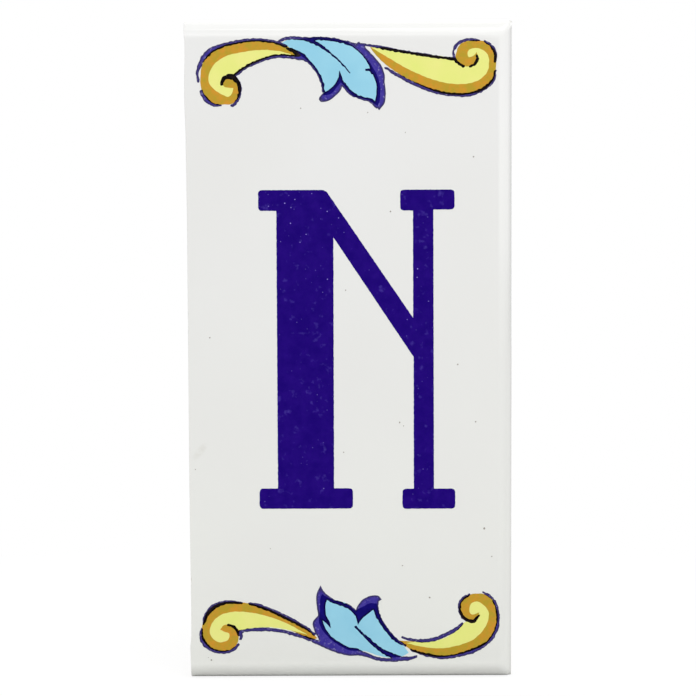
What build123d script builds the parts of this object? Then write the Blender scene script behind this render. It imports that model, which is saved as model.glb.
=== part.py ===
"""Ceramic wall tile for one letter, upright as it sits on the wall.

The tile is one half of a dry-pressed square: three of its sides keep the rolled
front edge of the pressing, and the left side is the saw cut. The back carries
keying ribs for the adhesive, and the cut opens the grooves between them.
The back lies in the plane Y = 0, the glazed face looks along -Y and +Z is up.
"""

import os

from build123d import *

# Driving dimensions, in millimetres and degrees
tile_width = 74.0  # from the saw cut to the pressed right-hand side
tile_height = 150.0  # the full side of the pressed square
tile_thickness = 7.0  # from the wall to the glazed face
cushion_radius = 3.5  # rolled front edge of the three pressed sides
corner_radius = 0.5  # the two pressed corners, seen from the front
sawn_arris = 0.25  # edges of the saw cut, rubbed down with a stone
back_bevel = 0.8  # bevel round the back of the pressed sides
rim_width = 5.0  # plain margin between the grooves and the pressed sides
rib_width = 3.0  # keying rib, at the wall
groove_width = 5.75  # gap between two ribs, at the wall
groove_depth = 0.8  # how far the ribs stand up
groove_draft = 30.0  # slope of the groove walls, so that the pressing leaves its die

# Sizes that follow from those above
rib_pitch = rib_width + groove_width
half_field = tile_height / 2 - rim_width
grooves_in_half = int((half_field + rib_width / 2) / rib_pitch)
groove_count = 2 * grooves_in_half  # an even count keeps a rib on the tile's centre
groove_end = tile_width / 2 - rim_width
saw_overrun = groove_width  # the groove cutter passes this far out through the saw cut
groove_length = groove_end + tile_width / 2 + saw_overrun
groove_centre = groove_end - groove_length / 2

with BuildPart() as letter_tile:
    # Pressed slab, from the wall to the face
    with BuildSketch(Plane.XZ):
        Rectangle(tile_width, tile_height)
    extrude(amount=tile_thickness)

    # Rolled edge round the face: every side but the saw cut
    face_edges = letter_tile.faces().sort_by(Axis.Y)[0].edges()
    fillet(face_edges.sort_by(Axis.X)[1:], radius=cushion_radius)

    # Bevel round the back of the same three sides
    back_edges = letter_tile.faces().sort_by(Axis.Y)[-1].edges()
    chamfer(back_edges.sort_by(Axis.X)[1:], length=back_bevel)

    # The two upright corners between pressed sides, below the rolled edge
    corner_edges = letter_tile.edges().filter_by(Axis.Y).group_by(Axis.X)[-1]
    fillet(corner_edges, radius=corner_radius)

    # Rubbed-down edges of the saw cut, down the face and down the back
    cut_edges = letter_tile.faces().sort_by(Axis.X)[0].edges().filter_by(Axis.Z)
    chamfer(cut_edges, length=sawn_arris)

    # Keying grooves: each starts at the margin and runs out through the saw cut
    with BuildSketch(Plane.XZ):
        with Locations((groove_centre, 0)):
            with GridLocations(0, rib_pitch, 1, groove_count):
                SlotOverall(groove_length, groove_width)
    extrude(amount=groove_depth, taper=groove_draft, mode=Mode.SUBTRACT)

letter_tile.part.label = "letter_tile"

os.makedirs("parts", exist_ok=True)
export_step(letter_tile.part, "parts/letter_tile.step")
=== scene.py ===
"""Looks of the ceramic letter tile: its biscuit body, its white glaze and the colours fired onto it."""

import math

import bpy
import numpy as np
from mathutils import Matrix, Vector, geometry
from mathutils.kdtree import KDTree
from mathutils.noise import noise as chance


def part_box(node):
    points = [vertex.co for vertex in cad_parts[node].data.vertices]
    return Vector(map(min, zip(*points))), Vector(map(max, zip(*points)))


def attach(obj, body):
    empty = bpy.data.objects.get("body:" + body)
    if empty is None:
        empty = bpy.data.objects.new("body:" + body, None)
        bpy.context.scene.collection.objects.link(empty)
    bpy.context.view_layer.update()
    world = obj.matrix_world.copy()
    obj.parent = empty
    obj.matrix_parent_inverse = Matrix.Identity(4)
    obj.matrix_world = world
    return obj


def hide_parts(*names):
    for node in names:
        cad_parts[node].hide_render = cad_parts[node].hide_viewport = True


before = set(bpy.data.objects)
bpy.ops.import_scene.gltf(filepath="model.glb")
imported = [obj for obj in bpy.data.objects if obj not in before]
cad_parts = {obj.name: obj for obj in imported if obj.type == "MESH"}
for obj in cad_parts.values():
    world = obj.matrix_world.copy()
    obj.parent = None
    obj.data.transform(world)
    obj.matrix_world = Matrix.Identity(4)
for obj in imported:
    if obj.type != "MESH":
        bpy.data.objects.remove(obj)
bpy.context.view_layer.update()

# Biscuit body
# Wall-tile clay, pressed dry in a die and fired once to a pale porous biscuit. The die rolled the front
# edges and keyed the back with grooves; a wet saw then halved the square, so the left side is a raw cut.
MM = 0.001
low, high = (np.array(corner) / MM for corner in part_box("letter_tile"))
left, right, bottom, top = low[0], high[0], low[2], high[2]
face, wall = low[1], high[1]
roll = 3.5  # radius of the rolled front edges
mitre_blend = 1.2  # width over which two rolled edges run into each other at a corner
glaze_thickness = 0.3
bare_inset = 0.15  # the bare sides stand this far inside the glazed ones
cut_inset = 0.02  # and the bare saw cut this far inside the edge of its glaze
corner_radius = 0.2  # the two pressed corners, seen from the front
sawn_arris = 0.25  # edges of the cut, rubbed down with a stone
back_bevel = 0.8
groove_pitch = 8.75
grooves_in_half = 8
groove_depth = 0.8
groove_lip = 2.98  # half the groove's width where its worn edge starts
groove_floor = 2.31  # half the groove's width where its floor starts
groove_end = 29.125  # centre of each groove's round end
rim_width = 5  # plain margin round the grooves
blade = 100  # radius of the saw blade
saw_mark = 0.05  # height of the marks that it left
saw_spacing = 1.6
saw_wander = [
    (-75, 0.3), (-72, 0.3), (-67.5, 0.2), (-65.5, 0.44), (-60, 0.46), (-30, 0.27), (0, 0.25), (30, 0.23),
    (50, 0.05), (58, -0.2), (70, 0), (73, -0.3), (75, -0.25),
]  # height, and how far to the right of a straight cut the blade ran there
pressed_wave = 0.03  # unevenness of the pressed back
pressed_wave_length = 9
side_step = 6  # spacing of the points along the pressed sides
cut_step = 0.8  # and down the cut, where they carry the marks of the blade
side_rows = 9  # rows of faces from the front to the back
corner_points = 5  # points round a rounded corner
slope_lines = 6  # lines down the slope of a groove
end_points = 13  # points round its end
spot_step = 4  # spacing of the loose points between those lines
overrun = 1  # how far the lines of the back run on past the cut
touch = 0.01  # how near to a line counts as on it


def walk(start, end, step):
    """Points from start to just short of end, about a step apart."""
    count = max(1, round(math.dist(start, end) / step))
    return [tuple(start[k] + (end[k] - start[k]) * n / count for k in (0, 1)) for n in range(count)]


def arc(centre, radius, begin, end, count):
    """Points on an arc with both its ends, by angles in degrees from +X towards +Z."""
    turns = np.radians(np.linspace(begin, end, count))
    return [(centre[0] + radius * math.cos(a), centre[1] + radius * math.sin(a)) for a in turns]


def cut_up(outlines, lines=(), loose=()):
    """The plane cut along outlines and lines: points, triangles, and the outlines that hold each of them."""
    points, edges, faces = [], [], []
    for outline in outlines:
        faces.append(list(range(len(points), len(points) + len(outline))))
        points += outline
    for line in lines:
        edges += [(n, n + 1) for n in range(len(points), len(points) + len(line) - 1)]
        points += line
    points += loose
    whole_hull, weld = 0, 1e-5  # which triangles to make, and how near two points become one
    given = [Vector(p) for p in points]
    made, _, triangles, _, _, holders = geometry.delaunay_2d_cdt(given, edges, faces, whole_hull, weld, True)
    return [tuple(p) for p in made], triangles, holders


def closed(over, under, faces, rows=1):
    """A sheet and its underside, joined by a wall of so many rows along every open edge."""
    edges = [(a, b) for f in faces for a, b in zip(f, (*f[1:], f[0]))]
    known = set(edges)
    rim = [(a, b) for a, b in edges if (b, a) not in known]
    points = [np.array(p) for p in (*over, *under)]
    shell = [*faces, *([n + len(over) for n in reversed(f)] for f in faces)]
    column = {}
    for a in sorted({n for edge in rim for n in edge}):
        start, end = points[a], points[a + len(over)]
        column[a] = [a, *range(len(points), len(points) + rows - 1), a + len(over)]
        points += [start + (end - start) * k / rows for k in range(1, rows)]
    for a, b in rim:
        for k in range(rows):
            shell.append((column[b][k], column[a][k], column[a][k + 1], column[b][k + 1]))
    return points, shell


def piece(name, points, faces, material, crease):
    """A smooth mesh object from points in millimetres, sharp where faces meet at more than the crease."""
    used = sorted({n for f in faces for n in f})
    place = {n: k for k, n in enumerate(used)}
    mesh = bpy.data.meshes.new(name)
    mesh.from_pydata([Vector(points[n]) * MM for n in used], [], [[place[n] for n in f] for f in faces])
    mesh.materials.append(material)
    mesh.shade_smooth()
    mesh.set_sharp_from_angle(angle=math.radians(crease))
    made = bpy.data.objects.new(name, mesh)
    bpy.context.scene.collection.objects.link(made)
    return made


def linear(colour):
    """Linear RGBA of an sRGB hex colour."""
    parts = [int(colour[n:n + 2], 16) / 255 for n in (1, 3, 5)]
    return (*(c / 12.92 if c <= 0.04045 else ((c + 0.055) / 1.055) ** 2.4 for c in parts), 1)


def surface(name, roughness, ior=1.5):
    """A new material with its even values set on the shader: the material, its node tree, its shader."""
    made = bpy.data.materials.new(name)
    made.use_nodes = True
    shader = made.node_tree.nodes["Principled BSDF"]
    shader.inputs["Roughness"].default_value = roughness
    shader.inputs["IOR"].default_value = ior
    return made, made.node_tree, shader


def node(tree, kind, inputs=None, **settings):
    """Adds one node: its own settings, and for each input socket a value or another node's output."""
    added = tree.nodes.new("ShaderNode" + kind)
    for name, value in settings.items():
        setattr(added, name, value)
    for socket, value in (inputs or {}).items():
        if isinstance(value, bpy.types.NodeSocket):
            tree.links.new(value, added.inputs[socket])
        else:
            added.inputs[socket].default_value = value
    return added


def per(size):
    """Texture scale whose features are so many millimetres across."""
    return 1 / (size * MM)


def rolled(x, z, radius):
    """How far the front lies behind the flat of the face, along its rolled edges."""
    beside, beyond = x - (right - roll), abs(z) - (top - roll)
    shared = max(mitre_blend - abs(beside - beyond), 0)
    reach = max(beside, beyond, 0) + (shared**2 / (4 * mitre_blend) if max(beside, beyond) > 0 else 0)
    return radius - math.sqrt(max(radius**2 - reach**2, 0))


def keyed(x, z):
    """How far the back lies in front of the wall: its grooves, its bevel and the rubbed edge of the cut."""
    row = max(-grooves_in_half, min(grooves_in_half - 1, math.floor(z / groove_pitch))) + 0.5
    reach = math.hypot(max(x - groove_end, 0), z - row * groove_pitch)
    share = max(0, min(1, (groove_lip - reach) / (groove_lip - groove_floor)))
    groove = groove_depth * share**2 * (3 - 2 * share)
    bevel = back_bevel - min(right - x, top - abs(z))
    arris = sawn_arris - (x - left)
    return max(groove, bevel, arris, 0)


def drawn_over(x, z):
    """X of a point once the whole width has been drawn over to meet the wandering cut."""
    return x + np.interp(z, *zip(*saw_wander)) * (right - x) / (right - left)


def sawn(y, z):
    """Marks of the round blade on the cut: shallow arcs, one for each small advance of the tile."""
    advance = z - math.sqrt(2 * blade * max(wall - y, 0))
    return saw_mark * (1 + chance(Vector((advance / saw_spacing, 0, 0)))) / 2


cut, bare = left + cut_inset, right - bare_inset
rim_low, rim_high = bottom + bare_inset, top - bare_inset
corner_x = bare - corner_radius
plan = [
    *walk((cut, rim_low), (corner_x, rim_low), side_step),
    *arc((corner_x, rim_low + corner_radius), corner_radius, -90, 0, corner_points),
    *walk((bare, rim_low + corner_radius), (bare, rim_high - corner_radius), side_step)[1:],
    *arc((corner_x, rim_high - corner_radius), corner_radius, 0, 90, corner_points),
    *walk((corner_x, rim_high), (cut, rim_high), side_step)[1:],
    *walk((cut, rim_high), (cut, rim_low), cut_step),
]
past_cut = left - overrun
back_lines = [[(left + sawn_arris, bottom), (left + sawn_arris, top)]]
for inset in (back_bevel / 2, back_bevel, 2 * back_bevel, roll):
    side, foot, head = right - inset, bottom + inset, top - inset
    back_lines.append([(past_cut, foot), (side, foot), (side, head), (past_cut, head)])
for row in range(-grooves_in_half, grooves_in_half):
    middle = (row + 0.5) * groove_pitch
    for reach in np.linspace(groove_floor, groove_lip, slope_lines):
        round_end = arc((groove_end, middle), reach, -90, 90, end_points)
        back_lines.append([(past_cut, middle - reach), *round_end, (past_cut, middle + reach)])
columns = np.arange(left + spot_step, right - spot_step, spot_step)
rows = np.arange(bottom + rim_width, top - spot_step, groove_pitch / 2)
spots = [(x, z) for x in columns for z in rows]
flat, triangles, holders = cut_up([plan], back_lines, spots)
triangles = [t for t, held in zip(triangles, holders) if held]
front = [(x, face + glaze_thickness + rolled(x, z, roll - glaze_thickness), z) for x, z in flat]
back = []
for x, z in flat:
    uneven = pressed_wave * abs(chance(Vector((x, z, 0)) / pressed_wave_length))
    back.append((x, wall - keyed(x, z) - uneven, z))
points, faces = closed(front, back, triangles, side_rows)
for point in points:
    mark = sawn(point[1], point[2]) if point[0] < cut + touch else 0
    point[0] = drawn_over(point[0], point[2]) + mark

# Porous earthenware biscuit: dead matt and pale cream, with a sandy grit, and darker in patches the deeper it
# lies in the grooves
biscuit, tree, shader = surface("earthenware_biscuit", roughness=0.9)
shader.inputs["Specular IOR Level"].default_value = 0.2
spot = node(tree, "TexCoord").outputs["Object"]
cloud = node(tree, "TexNoise", {"Vector": spot, "Scale": per(11), "Detail": 8, "Roughness": 0.62})
grit = node(tree, "TexNoise", {"Vector": spot, "Scale": per(0.5), "Detail": 3})
depth = node(tree, "SeparateXYZ", {0: spot}).outputs["Y"]
# The colour darkens, in patches, the deeper a point lies in a groove of the back
groove_darkening = node(tree, "MapRange", {0: depth, 1: -0.3 * MM, 2: -0.8 * MM, 3: 0.0, 4: 0.45}).outputs[0]
fired = node(tree, "MapRange", {0: cloud.outputs[0], 1: 0.35, 2: 0.7}).outputs[0]
clay = node(tree, "Mix", {0: fired, 6: linear("#E6DDCF"), 7: linear("#D9CBB8")}, data_type="RGBA").outputs[2]
sand = node(tree, "MapRange", {0: grit.outputs[0], 1: 0.52, 2: 0.7, 3: 0.0, 4: 0.5}).outputs[0]
speckled = node(tree, "Mix", {0: sand, 6: clay, 7: linear("#B9A68E")}, data_type="RGBA").outputs[2]
patchy_groove_darkening = node(tree, "Math", {0: groove_darkening, 1: cloud.outputs[0]}, operation="MULTIPLY").outputs[0]
groove_darkened = node(tree, "Mix", {0: patchy_groove_darkening, 6: speckled, 7: linear("#A8998A")}, data_type="RGBA").outputs[2]
tree.links.new(groove_darkened, shader.inputs["Base Color"])
rough = node(tree, "Bump", {"Height": grit.outputs[0], "Strength": 0.5, "Distance": 0.06 * MM})
tree.links.new(rough.outputs[0], shader.inputs["Normal"])

body = piece("biscuit_body", points, faces, biscuit, crease=35)
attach(body, "root")
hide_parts("letter_tile")

# Glaze coat
# White tin glaze, poured over the face before the second firing. It runs round the rolled edges, stops in
# an uneven line part of the way down the sides, and was nicked along the left where the saw went through.
glaze_line = 4.7  # how far behind the face the coat ends on the sides
glaze_drip = 0.45  # how much that line wanders
glaze_drip_length = 8
glaze_wave = 0.05  # lazy unevenness of the fired face
glaze_wave_length = 22
glaze_layer = 40  # the layer of the noise that the face takes
glaze_arris = 0.08  # the edge of the coat along the cut
cut_tremble = 0.04  # fine unevenness of that edge
cut_tremble_length = 3
cut_layer = 7  # the layer of the noise that the edge takes
# Nicks in that edge: height, depth and half length
nicks = [(66.1, 0.1, 0.5), (41, 0.12, 0.4), (6.2, 0.1, 0.6), (-33.5, 0.14, 0.4), (-52, 0.12, 0.7)]
rub_middle = (-34.1, 0, -22.4)  # a faint rubbed mark by the cut
rub_half = (1.1, 20, 3.4)  # half its width, depth and length
rub_lean = 40  # how far it leans to the right, in degrees
bend_steps = 15  # rows of points round a rolled edge
flat_columns = 38  # columns of points across the flat of the face
flat_rows = 56  # and rows from its middle to its end
first_column = 0.8  # how far from the cut the even columns start


def glaze_at(x, z):
    """Y of the glazed face and its rolled edges."""
    uneven = glaze_wave * abs(chance(Vector((x, z, glaze_layer)) / glaze_wave_length))
    return face + rolled(x, z, roll) + uneven


def nicked(z):
    """How far the glaze stops short of the cut: a fine tremble, and the nicks."""
    chips = [deep * max(0, 1 - abs(z - at) / half) for at, deep, half in nicks]
    tremble = 0.5 + 0.5 * chance(Vector((z / cut_tremble_length, cut_layer, 0)))
    return cut_tremble * tremble + max(chips)


def cornered(x, z):
    """A point of the square plan, moved so that the two pressed corners are round."""
    start_x, start_z = right - corner_radius, top - corner_radius
    a = (x - start_x) / corner_radius
    b = (abs(z) - start_z) / corner_radius
    if a <= 0 or b <= 0:
        return x, z
    x = start_x + corner_radius * a * math.sqrt(1 - b * b / 2)
    return x, math.copysign(start_z + corner_radius * b * math.sqrt(1 - a * a / 2), z)


# The coat is a grid: columns from the cut to the right and rows from foot to head, each with the number
# of steps that it lies down the side
bend = [math.sin(math.radians(turn)) for turn in np.linspace(0, 90, bend_steps)]
skirt = [(0.35, 0), (0.7, 0), (0.93, 0.02), (1.0, 0.1)]  # share of the way down the side, and tuck at its lip
down = range(1, len(skirt) + 1)
across = [(left, 0), (left + glaze_arris, 0)]
across += [(x, 0) for x in np.linspace(left + first_column, right - roll, flat_columns)[:-1]]
across += [(right - roll + roll * s, 0) for s in bend] + [(right, n) for n in down]
up = [(z, 0) for z in np.linspace(0, top - roll, flat_rows)[:-1]]
up += [(top - roll + roll * s, 0) for s in bend] + [(top, n) for n in down]
upright = [(-z, n) for z, n in up[:0:-1]] + up

points, faces, places, cells = [], [], {}, {}
for i, (x, over_side) in enumerate(across):
    for j, (z, over_end) in enumerate(upright):
        if over_side and over_end:
            continue
        px, pz = cornered(x, z)
        px = drawn_over(px, pz)
        if over_side or over_end:
            share, tuck = skirt[max(over_side, over_end) - 1]
            ends = glaze_line + glaze_drip * chance(Vector((px, 0, pz)) / glaze_drip_length)
            py = face + roll + share * (ends - roll)
            px -= tuck if over_side else 0
            pz -= math.copysign(tuck, z) if over_end else 0
        else:
            py = glaze_at(x, z)
        if i < 2:
            px += nicked(z)
            py += glaze_arris if i == 0 else 0
        key = (round(px, 4), round(py, 4), round(pz, 4))
        if key not in places:
            places[key] = len(points)
            points.append((px, py, pz))
        cells[i, j] = places[key]
for i in range(len(across) - 1):
    for j in range(len(upright) - 1):
        ring = [cells.get(c) for c in ((i, j), (i + 1, j), (i + 1, j + 1), (i, j + 1))]
        if None in ring:
            continue
        if upright[j][0] < 0:
            ring = ring[3:] + ring[:3]
        halves = [ring[:3], [ring[0], *ring[2:]]] if across[i][0] > right - roll - touch else [ring]
        faces += [f for f in halves if len(set(f)) == len(f)]
sheet = bpy.data.meshes.new("glaze_sheet")
sheet.from_pydata(points, [], faces)
inner = [tuple(v.co - v.normal * glaze_thickness) for v in sheet.vertices]
bpy.data.meshes.remove(sheet)
points, faces = closed(points, inner, faces)

# Glossy tin glaze: opaque and a little uneven in whiteness, a touch greener towards the foot, where it
# pooled, with the soft ripple of a poured coat and one faint grey mark
glaze, tree, shader = surface("white_tin_glaze", roughness=0.1, ior=1.55)
spot = node(tree, "TexCoord").outputs["Object"]
pour = node(tree, "TexNoise", {"Vector": spot, "Scale": per(32), "Detail": 2})
shade = node(tree, "MapRange", {0: pour.outputs[0], 1: 0.35, 2: 0.65, 3: 0.0, 4: 0.6}).outputs[0]
height = node(tree, "SeparateXYZ", {0: spot}).outputs["Z"]
pooled = node(tree, "MapRange", {0: height, 1: 60 * MM, 2: -60 * MM}).outputs[0]
run = node(tree, "Mix", {0: pooled, 6: linear("#EAEAE9"), 7: linear("#E9EAE5")}, data_type="RGBA").outputs[2]
white = node(tree, "Mix", {0: shade, 6: run, 7: linear("#E7E7E4")}, data_type="RGBA").outputs[2]
rub_place = {
    "Vector": spot,
    "Location": Vector(rub_middle) * MM,
    "Rotation": (0, math.radians(rub_lean), 0),
    "Scale": Vector(rub_half) * MM,
}
rub = node(tree, "Mapping", rub_place, vector_type="TEXTURE").outputs[0]
off_rub = node(tree, "VectorMath", {0: rub}, operation="LENGTH").outputs["Value"]
smear = node(tree, "TexNoise", {"Vector": spot, "Scale": per(1.5), "Detail": 2}).outputs[0]
patchy = node(tree, "MapRange", {0: smear, 1: 0.4, 2: 0.6, 3: 0.06, 4: 0.24}).outputs[0]
grime = node(tree, "MapRange", {0: off_rub, 1: 1.0, 2: 0.1, 3: 0.0, 4: patchy}).outputs[0]
rubbed = node(tree, "Mix", {0: grime, 6: white, 7: linear("#B0A996")}, data_type="RGBA").outputs[2]
tree.links.new(rubbed, shader.inputs["Base Color"])
peel = node(tree, "TexNoise", {"Vector": spot, "Scale": per(1.4), "Detail": 2})
skin = node(tree, "Bump", {"Height": peel.outputs[0], "Strength": 0.25, "Distance": 0.01 * MM})
tree.links.new(skin.outputs[0], shader.inputs["Normal"])

coat = piece("glaze_coat", points, faces, glaze, crease=40)
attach(coat, "root")

# Letter
# One plain capital with square serifs, screened onto the glaze in cobalt and fired into it. The colour lies
# as a thin even film, with slightly soft corners and a few pinholes where the screen was blocked.
film = 0.03  # how proud the fired colours stand
film_root = 0.02  # how deep they reach into the glaze
serif_corner = 0.9
inner_corner = 0.12
screen_wave = 0.07  # unevenness of the screened edge
screen_wave_length = 0.5
screen_step = 0.35  # spacing of the points along that edge
inside_step = 2  # spacing of the points inside it, which let the film follow the glaze
register = (0.11, -0.12)  # how far off the middle the colours were laid: to the right, and up


def rounded(corners, outer, inner, step):
    """A closed clockwise outline with its outer and inner corners rounded and points about a step apart."""
    outline = []
    for before, here, after in zip(corners[-1:] + corners[:-1], corners, corners[1:] + corners[:1]):
        here = np.array(here)
        inward = np.array(before) - here
        onward = np.array(after) - here
        radius = outer if inward[0] * onward[1] > inward[1] * onward[0] else inner
        start = here + inward * radius / np.linalg.norm(inward)
        end = here + onward * radius / np.linalg.norm(onward)
        outline += walk(outline[-1], start, step)[1:] if outline else []
        for t in np.linspace(0, 1, corner_points):
            outline.append(tuple((1 - t) ** 2 * start + 2 * t * (1 - t) * here + t * t * end))
    return outline + walk(outline[-1], outline[0], step)[1:]


def ragged(outline, height, length):
    """The outline with each point moved a little by chance, in waves of about this length."""
    moved = []
    for x, z in outline:
        aside, upward = (height * chance(Vector((x, z, layer)) / length) for layer in (3, 9))
        moved.append((x + aside, z + upward))
    return moved


def area(outline):
    """Area of the outline, below zero where it runs clockwise."""
    return sum(a[0] * b[1] - b[0] * a[1] for a, b in zip(outline, outline[1:] + outline[:1])) / 2


def turning(outline):
    """The outline counter-clockwise."""
    return outline if area(outline) > 0 else outline[::-1]


def fired_on(name, flat, triangles, material):
    """A film of colour on the glaze, as a piece that rides on the tile."""
    placed = [(x + register[0], z + register[1]) for x, z in flat]
    over = [(x, glaze_at(x, z) - film, z) for x, z in placed]
    under = [(x, y + film + film_root, z) for x, y, z in over]
    made = piece(name, *closed(over, under, triangles), material, crease=40)
    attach(made, "root")
    return made


capital = [
    (-20.75, 37.0), (-5.5, 37.0), (14.3, 7.95), (14.3, 32.3), (11.4, 32.3), (11.4, 37.0), (23.7, 37.0),
    (23.7, 32.5), (18.9, 32.5), (19.0, -31.1), (23.85, -31.1), (23.85, -35.7), (11.8, -35.7), (11.8, -31.1),
    (14.4, -31.1), (14.4, -0.95), (-3.75, 26.3), (-3.8, -30.95), (0.5, -30.95), (0.5, -35.6),
    (-20.8, -35.6), (-20.8, -30.95), (-16.6, -30.95), (-16.65, 32.3), (-20.75, 32.3),
]
softened = rounded(capital, serif_corner, inner_corner, screen_step)
stencil = turning(ragged(softened, screen_wave, screen_wave_length))
spots = [(x, z) for x in np.arange(-20, 24, inside_step) for z in np.arange(-35, 37, inside_step)]
flat, triangles, holders = cut_up([stencil], loose=spots)
triangles = [t for t, held in zip(triangles, holders) if held]

# Cobalt under gloss: a deep blue violet, clouded where the colour lies thicker or thinner, with pale pinholes
cobalt, tree, shader = surface("cobalt_on_glaze", roughness=0.12)
spot = node(tree, "TexCoord").outputs["Object"]
cloud = node(tree, "TexNoise", {"Vector": spot, "Scale": per(2), "Detail": 5})
thick = node(tree, "MapRange", {0: cloud.outputs[0], 1: 0.35, 2: 0.7}).outputs[0]
blue = node(tree, "Mix", {0: thick, 6: linear("#1B0072"), 7: linear("#24057B")}, data_type="RGBA").outputs[2]
thin = node(tree, "TexNoise", {"Vector": spot, "Scale": per(1.6), "Detail": 3}).outputs[0]
faint = node(tree, "MapRange", {0: thin, 1: 0.62, 2: 0.8, 3: 0.0, 4: 0.4}).outputs[0]
washed = node(tree, "Mix", {0: faint, 6: blue, 7: linear("#5A48B0")}, data_type="RGBA").outputs[2]
holes = node(tree, "TexVoronoi", {"Vector": spot, "Scale": per(1.2)}).outputs
pin = node(tree, "MapRange", {0: holes["Distance"], 1: 0.14, 2: 0.06}).outputs[0]
chosen = node(tree, "SeparateColor", {0: holes["Color"]}).outputs[0]
clear = node(tree, "MapRange", {0: chosen, 1: 0.5, 2: 0.9}).outputs[0]
pierced = node(tree, "Math", {0: pin, 1: clear}, operation="MULTIPLY").outputs[0]
patch = node(tree, "TexNoise", {"Vector": spot, "Scale": per(9), "Detail": 2}).outputs[0]
height = node(tree, "SeparateXYZ", {0: spot}).outputs["Z"]
worn = node(tree, "MapRange", {0: height, 1: 0.0, 2: 25 * MM, 3: 0.35, 4: 1.0}).outputs[0]
open_screen = node(tree, "MapRange", {0: patch, 1: 0.42, 2: 0.58, 3: 0.0, 4: worn}).outputs[0]
bare_pin = node(tree, "Math", {0: pierced, 1: open_screen}, operation="MULTIPLY").outputs[0]
pricked = node(tree, "Mix", {0: bare_pin, 6: washed, 7: linear("#B09CFA")}, data_type="RGBA").outputs[2]
tree.links.new(pricked, shader.inputs["Base Color"])
fired_on("letter_cobalt", flat, triangles, cobalt)

# Scrolls and leaves
# A traditional border at each end: two curled scrolls that spring from a folded leaf, painted by hand in
# ochre, yellow and blue, then outlined with a loaded brush. The lower one is the same design, turned round.
brush_step = 0.3  # spacing of the points along a painted edge
border_step = 0.7  # and of those inside it
brush_wave = 0.09  # raggedness of a painted field's edge
brush_wave_length = 0.9
hair_wave = 0.2  # raggedness of a line, which the hairs of the brush left open in places
hair_wave_length = 0.6
cap_turns = (0.6, 1.1, 1.45)  # angles, in radians, of the points round the end of a line
line_bleed = 0.27  # a line fires this much wider than its stroke
least_shard = 0.0001  # area below which a bit of a stroke is left out
border_drop = 0.05  # both borders lie this much nearer the middle than drawn


def smooth(knots, step):
    """A soft cubic curve through all the knots, with points about a step apart."""
    p = [np.array(k, float) for k in knots]
    p = [2 * p[0] - p[1], *p, 2 * p[-1] - p[-2]]
    path = [p[1]]
    for a, b, c, d in zip(p, p[1:], p[2:], p[3:]):
        spans = [math.dist(m[:2], n[:2]) ** 0.5 for m, n in ((a, b), (b, c), (c, d))]
        t0, t1, t2, t3 = np.cumsum([0, *spans])
        for t in np.linspace(t1, t2, 1 + max(1, round(math.dist(b[:2], c[:2]) / step)))[1:]:
            ab = ((t1 - t) * a + (t - t0) * b) / (t1 - t0)
            bc = ((t2 - t) * b + (t - t1) * c) / (t2 - t1)
            cd = ((t3 - t) * c + (t - t2) * d) / (t3 - t2)
            abc = ((t2 - t) * ab + (t - t0) * bc) / (t2 - t0)
            bcd = ((t3 - t) * bc + (t - t1) * cd) / (t3 - t1)
            path.append(((t2 - t) * abc + (t - t1) * bcd) / (t2 - t1))
    return path


def field(runs):
    """Outline of a painted field: smooth runs that meet in corners, each ending where the next one starts."""
    outline = []
    for run, following in zip(runs, runs[1:] + runs[:1]):
        outline += [tuple(p) for p in smooth([*run, following[0]], brush_step)[:-1]]
    return [turning(ragged(outline, brush_wave, brush_wave_length))]


def stroke(knots):
    """Triangles of a brush stroke with round ends, through knots that give x, z and width."""
    path = smooth([(x, z, width + line_bleed) for x, z, width in knots], brush_step)
    for end, beside in ((0, 1), (-1, -2)):
        tip, half = path[end], path[end][2] / 2
        onward = (tip - path[beside])[:2]
        onward /= np.linalg.norm(onward)
        cap = [[*(tip[:2] + onward * half * math.sin(a)), tip[2] * math.cos(a)] for a in cap_turns]
        cap = [np.array(point) for point in cap]
        path = cap[::-1] + path if end == 0 else path + cap
    ribs = []
    for n, (x, z, width) in enumerate(path):
        onward = (path[min(n + 1, len(path) - 1)] - path[max(n - 1, 0)])[:2]
        aside = np.array([-onward[1], onward[0]]) / np.linalg.norm(onward) * width / 2
        edges = [(x - aside[0], z - aside[1]), (x + aside[0], z + aside[1])]
        near, far = ragged(edges, hair_wave, hair_wave_length)
        ribs.append((near, ((near[0] + far[0]) / 2, (near[1] + far[1]) / 2), far))
    shards = []
    for a, b in zip(ribs, ribs[1:]):
        for k in (0, 1):
            shards += [[a[k], b[k], b[k + 1]], [a[k], b[k + 1], a[k + 1]]]
    return [turning(shard) for shard in shards if abs(area(shard)) > least_shard]


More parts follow.
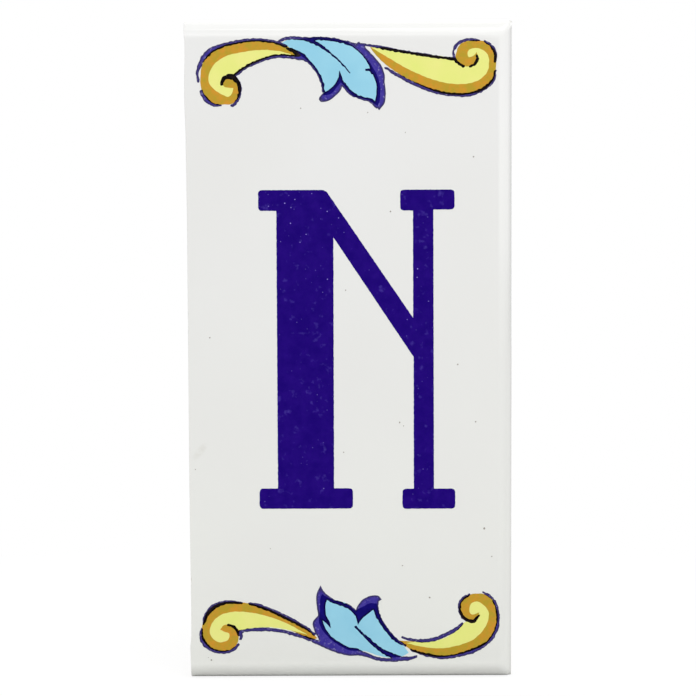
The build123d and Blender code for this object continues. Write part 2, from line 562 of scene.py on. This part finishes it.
# Inks of both borders in the order they were laid, the lower one as seen with the tile turned round. Places
# and widths are in millimetres, from the middle of the tile.
upper_border = [
    # left scroll
    ("ochre", field([
        [(-10.8, 67.2), (-11.6, 68.1), (-12.5, 68.7), (-14, 69.4), (-17, 70.35), (-21, 70.75),
         (-25, 70.35), (-29, 69.35), (-31.7, 67.75), (-33.15, 65.3), (-33.6, 62.2), (-33.3, 59.7),
         (-31.8, 57.2), (-29.8, 56.3), (-28.3, 56.4), (-27, 56.35), (-25.2, 57.5), (-24.45, 59.6),
         (-24.7, 61.5)],
        [(-25.75, 62.85), (-23.5, 64.5), (-20, 66.15), (-16.5, 67.2), (-14, 67.15), (-12.4, 67),
         (-11.4, 67)],
    ])),
    ("yellow", field([
        [(-13.3, 67.65), (-16, 68.3), (-20, 68.55), (-24, 68.1), (-28, 67.1), (-30.5, 65.3), (-31.65, 63),
         (-31.6, 61.1), (-30.3, 59.6), (-28.4, 58.4), (-27.2, 58.1), (-26.5, 58.75)],
        [(-26.2, 60.05), (-27.6, 60.15), (-28.2, 60.35), (-28.6, 61.2), (-28.3, 61.9), (-27.6, 62.45),
         (-26.8, 62.55)],
        [(-25.9, 62.9), (-24, 64.2), (-22, 65.25), (-18, 66.85), (-15.2, 67.35), (-13, 67.25)],
    ])),
    ("line", stroke([
        (-14.3, 69.35, 0.4), (-16, 70.05, 0.55), (-18.5, 70.6, 0.55), (-22, 70.75, 0.5), (-26, 70.2, 0.65),
        (-30, 69.05, 0.85), (-31.5, 68.2, 1.0), (-32.6, 67.1, 0.95), (-33.4, 65.9, 0.7), (-34.25, 63.6, 0.5),
        (-34.1, 61.6, 0.35)])),
    ("line", stroke([
        (-33.45, 59.3, 0.6), (-32.5, 57.65, 0.75), (-31.6, 56.85, 0.7), (-30.6, 56.3, 0.55),
        (-28.95, 56.12, 0.1)])),
    ("line", stroke([
        (-28.85, 60.95, 0.5), (-28.5, 61.9, 0.65), (-27.7, 62.5, 0.8), (-26.8, 62.65, 0.9), (-26, 62.3, 0.9),
        (-25.2, 61.4, 0.8), (-24.7, 59.7, 0.6), (-24.85, 58.4, 0.5), (-25.7, 56.7, 0.45),
        (-26.5, 56.05, 0.35)])),
    ("line", stroke([
        (-25.95, 62.75, 0.6), (-24.3, 64.1, 0.55), (-21.5, 65.6, 0.6), (-18.5, 66.7, 0.6), (-15.6, 67.2, 0.6),
        (-12.8, 66.95, 0.7), (-11.3, 66.8, 0.8), (-10.2, 66.55, 0.65)])),
    # leaf
    ("blue", field([
        [(-15.1, 70.15), (-14, 70.75), (-11, 71), (-8, 71.35), (-5, 71.25), (-2.5, 70.85), (-0.3, 70.15),
         (1.5, 68.9), (3.3, 67.2), (5.8, 63.8), (6.9, 60.5), (6.75, 57)],
        [(6.35, 55.9), (4, 57.3), (1, 58.1), (-0.2, 59.2)],
        [(-1.9, 61.2), (-2.8, 60.2), (-3.6, 59.2), (-4.6, 58.5)],
        [(-5.8, 58.3), (-6.3, 61.1), (-7.2, 63.3), (-9.4, 66), (-12.4, 68.3), (-14.3, 69.6)],
    ])),
    ("line", stroke([
        (-13.95, 68.85, 0.3), (-13, 68.55, 0.6), (-12, 67.95, 0.95), (-11, 67.3, 1.1), (-10, 66.6, 0.85),
        (-9, 65.75, 0.5), (-7.2, 63.5, 0.42), (-6.15, 61.1, 0.4), (-5.85, 59.2, 0.4)])),
    ("line", stroke([
        (-15.85, 70.5, 0.3), (-14.3, 71.1, 0.45), (-11.5, 71.15, 0.5), (-9, 70.75, 0.75), (-7, 69.75, 0.55),
        (-5, 68.4, 0.32), (-3, 66.7, 0.15), (-1, 64.7, 0.05), (0, 63.4, 0.02)])),
    ("line", stroke([(-9.6, 70.9, 0.5), (-7, 71.1, 0.5), (-4, 70.85, 0.5), (-1, 70.25, 0.5)])),
    ("line", field([
        [(-0.5, 70.6), (1, 70.1)],
        [(3.4, 69.8), (3.65, 69.1), (5.5, 67.1), (7.3, 64.8), (8, 62.8), (7.95, 61.5), (8.2, 59),
         (7.85, 56.5)],
        [(6.6, 54.95), (5.75, 56.8), (6.05, 58.6), (5.9, 61.4), (4.95, 63.6), (4.05, 65.6), (2.75, 67.4),
         (0.95, 69), (-1.2, 70.05)],
    ])),
    ("line", stroke([(3.85, 64.1, 0.3), (4.6, 64.05, 0.4), (5.2, 63.4, 0.5)])),
    ("line", field([
        [(-6.85, 57.4), (-6.5, 56.9), (-5.6, 56.85), (-3.6, 57.8), (-1.9, 59.7), (-1.5, 61.6), (-1.95, 63.2)],
        [(-2.25, 64), (-2.55, 62.2), (-3.7, 60.4), (-5.6, 59), (-6.2, 58.6), (-6.75, 57.9)],
    ])),
    ("line", stroke([
        (-2, 61.7, 0.6), (-1.3, 60.75, 0.65), (0.5, 58.75, 0.7), (2.7, 57.75, 0.5), (4.8, 57.15, 0.65),
        (6.2, 55.9, 0.8)])),
    # right scroll
    ("ochre", field([
        [(4.7, 69.1), (6, 67.3), (8.1, 65.3), (9.6, 64.15), (12, 62.6), (14.8, 61.1), (17.5, 59.8),
         (20, 58.9), (23, 58.35), (26, 58.35), (28, 58.65), (29.5, 59.05), (31, 59.95), (32.3, 61.4),
         (32.95, 63), (33.05, 65), (33.2, 67.2), (32.6, 68.6), (31.6, 69.6), (30.1, 70.4), (28, 70.65),
         (25.2, 69.8), (24.05, 67.8)],
        [(23.9, 66.5), (18, 67.2), (13, 68), (8, 68.9)],
    ])),
    ("yellow", field([
        [(5, 69), (8, 67.2), (10.5, 65.7), (14, 63.8), (18, 62.1), (22, 61), (26, 60.8), (28.8, 61.5),
         (30.8, 63.1), (31.5, 65.3), (31.1, 67.4), (29.4, 68.7), (27.6, 68.75), (26.65, 68), (26.9, 66.85),
         (28.1, 67.2)],
        [(28.7, 68), (28.9, 66.2), (27.5, 64.9), (25.4, 64.9)],
        [(23.7, 66.7), (18, 67.42), (13, 68.2), (8, 69.05)],
    ])),
    ("line", stroke([
        (2, 69.95, 0.25), (5, 69.42, 0.35), (9, 68.65, 0.5), (13, 67.95, 0.42), (17, 67.3, 0.48),
        (21, 66.7, 0.4), (23.6, 66.45, 0.5)])),
    ("line", stroke([
        (23.7, 66.5, 0.45), (23.45, 68, 0.35), (24.4, 69.75, 0.36), (26.4, 70.7, 0.4), (28.6, 70.6, 0.3),
        (29.3, 70.5, 0.1)])),
    ("line", stroke([(30.5, 70.35, 0.25), (31.9, 69.4, 0.4), (32.95, 67.5, 0.55), (32.85, 65.9, 0.45)])),
    ("line", stroke([
        (32.9, 63.8, 0.2), (32.5, 61.8, 0.5), (30.7, 60, 0.55), (27.5, 58.55, 0.6), (23.5, 58.4, 0.62),
        (19.5, 59.1, 0.62), (15.5, 60.5, 0.55), (11.5, 62.5, 0.5), (8.2, 64.45, 0.3)])),
    ("line", stroke([(28.75, 67.1, 0.3), (28.95, 66.5, 0.36), (28.05, 65.1, 0.36), (27.2, 64.75, 0.2)])),
    ("line", stroke([(23.75, 66.35, 0.45), (24.3, 65.65, 0.4), (25.75, 64.75, 0.25)])),
]
lower_border = [
    # left scroll
    ("ochre", field([
        [(-11, 66.2), (-14, 68.6), (-17, 69.6), (-20, 70.1), (-24, 69.65), (-28, 68.5), (-31, 66.95),
         (-32.9, 64.2), (-33.6, 61.4), (-33.35, 59), (-32.4, 56.9), (-30.3, 55.5), (-27.8, 55.5),
         (-25.7, 56.4), (-24.75, 58.4), (-25, 60.3), (-25.75, 61.4)],
        [(-26.7, 61.9), (-24.6, 64), (-21, 65.9), (-18, 66.6), (-15, 66.5)],
    ])),
    ("yellow", field([
        [(-12.6, 66.75), (-16, 67.6), (-20, 68.05), (-24, 67.5), (-27.5, 66.3), (-29.8, 64.4), (-31.2, 62.1),
         (-31.5, 59.8), (-30.4, 58.1), (-28.7, 57.2), (-27.35, 57.9), (-27.1, 59.4), (-27.6, 60.2)],
        [(-29.4, 59.8), (-29.2, 60.6), (-28.1, 61.8), (-26.8, 61.75)],
        [(-25.7, 62.2), (-24, 64.1), (-21, 65.8), (-18, 66.55), (-15, 66.5)],
    ])),
    ("line", stroke([
        (-13.8, 68.4, 0.3), (-17, 69.45, 0.45), (-21, 70.1, 0.55), (-25, 69.5, 0.7), (-29, 68.15, 0.8),
        (-31, 66.95, 0.6)])),
    ("line", stroke([
        (-31.4, 66.7, 0.5), (-32.4, 65.4, 0.7), (-33.3, 63.6, 0.6), (-33.65, 61, 0.55), (-33.4, 58.8, 0.55),
        (-32.75, 57.15, 0.6)])),
    ("line", stroke([(-32.6, 56.75, 0.2), (-31.6, 55.85, 0.4), (-30.2, 55.1, 0.05)])),
    ("line", stroke([
        (-29.2, 60.6, 0.35), (-28.1, 61.75, 0.55), (-27.3, 61.8, 0.55), (-25.7, 60.9, 0.5),
        (-24.85, 59.2, 0.45), (-25.1, 57.2, 0.5), (-26.4, 56, 0.4), (-27, 55.65, 0.3)])),
    ("line", stroke([
        (-25.5, 62.2, 0.2), (-24.7, 63.1, 0.5), (-23.2, 64.1, 0.6), (-21, 65.2, 0.65), (-19, 65.9, 0.6),
        (-16.5, 66.3, 0.55), (-13, 65.85, 0.3), (-11.7, 65.45, 0.2)])),
    # leaf
    ("blue", field([
        [(-13.2, 69), (-12, 69.75), (-8.8, 70.15), (-6, 69.6), (-3, 68.6), (0.5, 68.4), (2.5, 67.4),
         (4.5, 66), (6.3, 64.1), (7.3, 62), (7.15, 59), (7, 56.2)],
        [(6.6, 55.4), (4.4, 56.55), (1.4, 57.4)],
        [(-1, 59.3), (-2.3, 58.5), (-4.2, 57.55)],
        [(-5.8, 57.6), (-6.5, 60.1), (-8, 62.9), (-9.8, 65.3), (-11.6, 67)],
    ])),
    ("line", stroke([
        (-12.45, 67.35, 0.3), (-10.5, 66.3, 0.55), (-8.6, 64.3, 0.6), (-6.9, 61.85, 0.7), (-5.8, 59.4, 0.9),
        (-5.7, 58.2, 0.9), (-5.9, 57.1, 0.7)])),
    ("line", stroke([
        (-15, 69.9, 0.3), (-13.2, 70.4, 0.65), (-11, 70.3, 0.95), (-9, 69.55, 1.0), (-7, 68.5, 0.75),
        (-5, 66.9, 0.55), (-3, 65, 0.4), (-1, 62.95, 0.25)])),
    ("line", stroke([
        (-10.5, 70.7, 0.6), (-8, 70.7, 0.55), (-6, 70.4, 0.6), (-4, 69.7, 0.65), (-3, 69.3, 0.75),
        (-1.8, 68.95, 1.1)])),
    ("line", field([
        [(-2, 69.65), (0.5, 69.65), (4.2, 68.7), (7.2, 67), (7.6, 65.5), (8.5, 63.8), (8.75, 61.8),
         (7.6, 60.2), (7.8, 58.8), (7.95, 56), (7.7, 54.8)],
        [(7.05, 53.4), (6.1, 54.9)],
        [(5.3, 55.9), (5.85, 58.2), (5.7, 60.2), (4.8, 62.1)],
        [(4.6, 63.35), (5.5, 62.4)],
        [(6.55, 61.5), (5.9, 63.3), (4.5, 65.2), (2.5, 66.6), (0.5, 67.7), (-1.8, 68.15)],
    ])),
    ("line", field([
        [(-1.6, 62.55), (-2.2, 61.5), (-3.7, 60.1)],
        [(-5, 59.1), (-6.2, 58.3), (-6.1, 57.3)],
        [(-7, 56.7), (-6.2, 55.8), (-4, 55.95), (-2.2, 57.1), (-1, 59.4), (-1.3, 61.5)],
    ])),
    ("line", stroke([
        (-1.2, 60, 0.65), (0.2, 58.5, 0.7), (2.4, 57.6, 0.7), (4.5, 56.8, 0.7), (6.1, 55.7, 0.75)])),
    # right scroll
    ("ochre", field([
        [(7.75, 65.6), (10, 63.4), (14, 61.1), (18, 59.15), (20, 58.35), (22, 57.7), (25, 57.25), (27, 57.05),
         (29, 57.1), (31, 57.7), (32.4, 58.7), (33.35, 60), (33.85, 61.5), (34.15, 63), (34.35, 64.5),
         (34.2, 65.7), (33.5, 66.8), (32.3, 67.9), (31, 68.45), (29, 68.65), (27, 67.85), (25.95, 66.4),
         (25.75, 64.9)],
        [(25.5, 63.7), (22, 63.1), (18, 63.05), (14, 63.75), (11, 65.1), (9.3, 65.9)],
    ])),
    ("yellow", field([
        [(10, 64.7), (12, 63.6), (15, 62), (19, 60.5), (23, 59.6), (27, 59.4), (30, 60.2), (31.7, 61.8),
         (32.4, 63.8), (31.7, 65.6), (30, 66.45), (28.2, 65.8), (27.95, 64.5), (29.2, 63.95)],
        [(30, 63.5), (29.2, 62.5), (27.2, 62.5)],
        [(25.6, 63.7), (22, 63.1), (18, 63.05), (14, 63.75)],
    ])),
    ("line", stroke([
        (6.4, 67.2, 0.8), (8, 66.4, 0.7), (12, 65, 0.5), (16, 63.9, 0.55), (20, 63.5, 0.6),
        (23.5, 63.65, 0.45), (25.3, 63.95, 0.5)])),
    ("line", stroke([(25.4, 65.75, 0.2), (25.2, 65.2, 0.45), (25.5, 63.95, 0.5)])),
    ("line", stroke([(25.75, 64.8, 0.2), (26.4, 63.35, 0.45), (27.1, 62.75, 0.4), (28.2, 62.4, 0.2)])),
    ("line", stroke([
        (25.9, 67, 0.3), (27.2, 68.25, 0.55), (29.3, 68.75, 0.5), (31.7, 68.3, 0.65), (33.6, 66.8, 0.85),
        (34.35, 65, 0.7), (34.2, 63.3, 0.15)])),
    ("line", stroke([
        (33.85, 62.2, 0.2), (33.35, 60.5, 0.7), (31.9, 58.6, 0.95), (30.2, 57.6, 0.85), (28.3, 57.15, 0.6),
        (25.1, 57.4, 0.3)])),
    ("line", stroke([
        (23.3, 57.55, 0.2), (22, 57.75, 0.55), (18, 59.25, 0.68), (14, 61.2, 0.7), (10, 63.5, 0.5),
        (8.4, 64.7, 0.35)])),
]


def showing(inks):
    """The colour that shows where these inks lie on each other: a line darkens what it crosses."""
    if inks == {"line"}:
        return "line_on_white"
    if "line" in inks:
        return "line_on_leaf" if inks == {"line", "blue"} else "line_on_scroll"
    return next(ink for ink in ("blue", "yellow", "ochre") if ink in inks)


# Each border is cut up along all its outlines, and every triangle goes to the film of the colour that
# shows there. A point also keeps how far it lies from the edge of the lines, in millimetres.
films = {}
spots = [(x, z) for x in np.arange(-34, 35, border_step) for z in np.arange(53, 72, border_step)]
for border, turn in ((upper_border, 1), (lower_border, -1)):
    inks = [ink for ink, outlines in border for _ in outlines]
    flat, triangles, holders = cut_up([o for _, outlines in border for o in outlines], loose=spots)
    laid = [(round(turn * x, 5), round(turn * (z - border_drop), 5)) for x, z in flat]
    shown = [showing({inks[n] for n in held}) if held else "" for held in holders]
    lined = {side for t, ink in zip(triangles, shown) if "line" in ink for side in zip(t, (*t[1:], t[0]))}
    shore = sorted({n for a, b in lined if (b, a) not in lined for n in (a, b)})
    nearest = KDTree(len(shore))
    for n in shore:
        nearest.insert((*flat[n], 0), n)
    nearest.balance()
    for triangle, ink in zip(triangles, shown):
        if ink:
            places, depths, faces = films.setdefault(ink, ({}, [], []))
            for n in triangle:
                if laid[n] not in places:
                    places[laid[n]] = len(places)
                    depths.append(nearest.find((*flat[n], 0))[2])
            faces.append([places[laid[n]] for n in triangle])

# Fired majolica colours: glossy as the glaze they sank into. The fields are a little cloudy where the brush
# left more or less; the lines dried with a darker edge and skipped in places, and are black on the scrolls.
paints = {
    "ochre": ("scroll_ochre", "#CF9430", "#B69A2E", 1.6),
    "yellow": ("scroll_yellow", "#EBEB8B", "#E4EA81", 7),
    "blue": ("leaf_blue", "#9AD3E8", "#93CEE5", 6),
    "line_on_white": ("line_on_white", "#463B9C", "#3A3092", 1.2),
    "line_on_leaf": ("line_on_leaf", "#140A72", "#0F0764", 1.2),
    "line_on_scroll": ("line_on_scroll", "#0E0709", "#2E2226", 4),
}  # name of the film, its colour, its colour in the clouds, and their size in millimetres
line_edges = {"line_on_white": "#3A3364", "line_on_leaf": "#090440", "line_on_scroll": "#080405"}
for ink, (name, colour, cloudy, cloud_size) in paints.items():
    paint, tree, shader = surface("majolica_" + name, roughness=0.12)
    spot = node(tree, "TexCoord").outputs["Object"]
    cloud = node(tree, "TexNoise", {"Vector": spot, "Scale": per(cloud_size), "Detail": 2}).outputs[0]
    share = node(tree, "MapRange", {0: cloud, 1: 0.35, 2: 0.65}).outputs[0]
    laid = node(tree, "Mix", {0: share, 6: linear(colour), 7: linear(cloudy)}, data_type="RGBA").outputs[2]
    if ink in line_edges:
        inward = node(tree, "Attribute", attribute_name="from_edge").outputs["Fac"]
        core = node(tree, "MapRange", {0: inward, 1: 0.2, 2: 0.55}).outputs[0]
        edged = {0: core, 6: linear(line_edges[ink]), 7: laid}
        laid = node(tree, "Mix", edged, data_type="RGBA").outputs[2]
    if ink == "line_on_white":
        hairs = node(tree, "TexNoise", {"Vector": spot, "Scale": per(0.7), "Detail": 2}).outputs[0]
        skips = node(tree, "MapRange", {0: hairs, 1: 0.58, 2: 0.72, 3: 0.0, 4: 0.6}).outputs[0]
        laid = node(tree, "Mix", {0: skips, 6: laid, 7: linear("#9A94C0")}, data_type="RGBA").outputs[2]
    tree.links.new(laid, shader.inputs["Base Color"])
    places, depths, faces = films[ink]
    made = fired_on(name, list(places), faces, paint)
    if ink in line_edges:
        from_edge = made.data.attributes.new("from_edge", "FLOAT", "POINT")
        from_edge.data.foreach_set("value", [*depths, *depths])

# Iron specks
# Grains of iron in the clay and the glaze burned out in the second firing and left a few small brown dots
# on the white, about as wide as a pencil line.
speck_points = 12  # points round a speck
speck_wave_length = 0.3
speck_places = [
    (-11, 55.4, 0.16), (4.1, 54.4, 0.14), (12.6, 49.9, 0.12), (28, 44.4, 0.18), (9.2, 32.1, 0.15),
    (-1, 14.3, 0.14), (-31.9, 3.6, 0.15), (24.4, -2.7, 0.19), (28.5, -15.8, 0.17), (11.2, -15.9, 0.17),
    (12.1, -16.7, 0.12), (-1.6, -22.7, 0.13), (30.5, -40.3, 0.21), (32.2, -46.8, 0.14), (11.8, -48.8, 0.15),
    (18, -56.2, 0.18), (-32.1, -70.5, 0.2), (-32.8, -69.9, 0.1), (-35.4, -26.5, 0.12),
    (-18.4, -44.8, 0.1),
]  # x, z and radius
flat, triangles = [], []
for x, z, radius in speck_places:
    rim = arc((x, z), radius, 0, 360 - 360 / speck_points, speck_points)
    first = len(flat)
    triangles += [(first, first + n, first + n + 1) for n in range(1, speck_points - 1)]
    flat += ragged(rim, radius / 2, speck_wave_length)

# Burned iron: dull brown, paler where the glaze closed over it
iron, tree, shader = surface("burned_iron", roughness=0.3)
spot = node(tree, "TexCoord").outputs["Object"]
cloud = node(tree, "TexNoise", {"Vector": spot, "Scale": per(0.3), "Detail": 2}).outputs[0]
browns = {0: cloud, 6: linear("#6A6058"), 7: linear("#B4AEA6")}
burned = node(tree, "Mix", browns, data_type="RGBA").outputs[2]
tree.links.new(burned, shader.inputs["Base Color"])
fired_on("iron_specks", flat, triangles, iron)

# Floor and light
# A white shelf that ends just in front of the tile, a broad soft box above it to the right and one low behind
# it for the back, and a white backdrop; the room before it is dark but for a strip overhead and a window.
shelf_front = 25  # how far it reaches in front of the wall plane
shelf_depth = 1000
shelf_half = 1000
soft_boxes = {
    "soft_box": ((205, -360, 500), (0.5, 0.4), 1.0),
    "back_box": ((-300, 600, 60), (0.5, 0.25), 2.2),
}  # place in millimetres, size in metres and watts

half, near, far = shelf_half * MM, -shelf_front * MM, shelf_depth * MM
shelf = [(-half, near, 0), (half, near, 0), (half, far, 0), (-half, far, 0)]
floor_mesh = bpy.data.meshes.new("floor")
floor_mesh.from_pydata(shelf, [], [(0, 1, 2, 3)])
floor = bpy.data.objects.new("floor", floor_mesh)
floor.location.z = bottom * MM
bpy.context.scene.collection.objects.link(floor)

# White card: seen by the camera it is almost its own light, so that only a faint shadow shows on it
card = bpy.data.materials.new("white_card")
card.use_nodes = True
tree = card.node_tree
seen = node(tree, "LightPath").outputs["Is Camera Ray"]
pale = node(tree, "Mix", {0: seen, 6: linear("#CBCBCB"), 7: (1, 1, 1, 1)}, data_type="RGBA").outputs[2]
matt = node(tree, "BsdfDiffuse", {"Color": pale})
glow = node(tree, "Emission", {"Color": (1, 1, 1, 1), "Strength": 1.0})
spot = node(tree, "TexCoord").outputs["Object"]
away = node(tree, "VectorMath", {0: spot}, operation="LENGTH").outputs["Value"]
washed = node(tree, "MapRange", {0: away, 1: 40 * MM, 2: 200 * MM, 3: 0.82, 4: 1.0}).outputs[0]
share = node(tree, "Math", {0: seen, 1: washed}, operation="MULTIPLY").outputs[0]
mixed = node(tree, "MixShader", {0: share, 1: matt.outputs[0], 2: glow.outputs[0]})
tree.links.new(mixed.outputs[0], tree.nodes["Material Output"].inputs["Surface"])
floor_mesh.materials.append(card)

# Studio room: plain white to the camera and, to matt surfaces, bright in front and above. In the gloss it
# is dark, with the white backdrop, the strip overhead and the window on the right.
world = bpy.data.worlds.new("studio")
bpy.context.scene.world = world
world.use_nodes = True
tree = world.node_tree
ray = node(tree, "LightPath").outputs
toward = node(tree, "SeparateXYZ", {0: node(tree, "TexCoord").outputs["Generated"]}).outputs
overhead = node(tree, "MapRange", {0: toward["Z"], 1: 0.0, 2: 1.0, 3: 0.0, 4: 0.62}).outputs[0]
before = node(tree, "MapRange", {0: toward["Y"], 1: -0.2, 2: 0.3, 3: 0.8, 4: 0.2}).outputs[0]
room = node(tree, "Math", {0: overhead, 1: before}, operation="ADD").outputs[0]
arched = {0: toward["Z"], 1: 0.5, 2: toward["Y"]}
behind = node(tree, "Math", arched, operation="MULTIPLY_ADD").outputs[0]
backdrop = node(tree, "MapRange", {0: behind, 1: 0.6, 2: 0.9, 3: 0.02, 4: 1.0}).outputs[0]
fading = node(tree, "MapRange", {0: toward["Z"], 1: 0.25, 2: 0.65, 3: 1.9, 4: 0.0}).outputs[0]
strip = node(tree, "MapRange", {0: toward["Z"], 1: 0.1, 2: 0.14, 3: 0.02, 4: fading}).outputs[0]
sill = node(tree, "MapRange", {0: toward["Z"], 1: -0.06, 2: -0.02, 3: 0.0, 4: 1.4}).outputs[0]
side = node(tree, "MapRange", {0: toward["Y"], 1: 0.0, 2: 0.5, 3: sill, 4: 0.3}).outputs[0]
window = node(tree, "MapRange", {0: toward["X"], 1: 0.15, 2: 0.4, 3: 0.0, 4: side}).outputs[0]
white = node(tree, "Math", {0: backdrop, 1: strip}, operation="MAXIMUM").outputs[0]
white = node(tree, "Math", {0: white, 1: window}, operation="MAXIMUM").outputs[0]
gloss = node(tree, "Mix", {0: ray["Is Glossy Ray"], 2: room, 3: white}).outputs[0]
through = node(tree, "Mix", {0: ray["Is Transmission Ray"], 2: gloss, 3: 1.0}).outputs[0]
strength = node(tree, "Mix", {0: ray["Is Camera Ray"], 2: through, 3: 1.0}).outputs[0]
tree.links.new(strength, tree.nodes["Background"].inputs["Strength"])
tree.nodes["Background"].inputs["Color"].default_value = (1, 1, 1, 1)

for name, (place, size, watts) in soft_boxes.items():
    soft_box = bpy.data.lights.new(name, "AREA")
    soft_box.shape = "RECTANGLE"
    soft_box.size, soft_box.size_y = size
    soft_box.energy = watts
    lamp = bpy.data.objects.new(name, soft_box)
    lamp.location = Vector(place) * MM
    lamp.rotation_euler = (-lamp.location).to_track_quat("-Z", "Y").to_euler()
    lamp.visible_camera = False
    bpy.context.scene.collection.objects.link(lamp)

# Camera
# Square on to the face, a little above its middle and looking slightly down, through a long lens.
camera_at = Vector((-1.635, -548.54, 39.885)) * MM
yaw, pitch, tilt = (math.radians(a) for a in (0.13, 4.105, -0.19))
lens = bpy.data.cameras.new("camera")
lens.sensor_width = 36
lens.lens = 123.57
camera = bpy.data.objects.new("camera", lens)
turns = ((-yaw, "Z"), (math.pi / 2 - pitch, "X"), (tilt, "Z"))
camera.matrix_world = Matrix.Translation(camera_at)
for angle, axis in turns:
    camera.matrix_world = camera.matrix_world @ Matrix.Rotation(angle, 4, axis)
bpy.context.scene.collection.objects.link(camera)
bpy.context.scene.camera = camera
bpy.context.scene.view_settings.view_transform = "Standard"
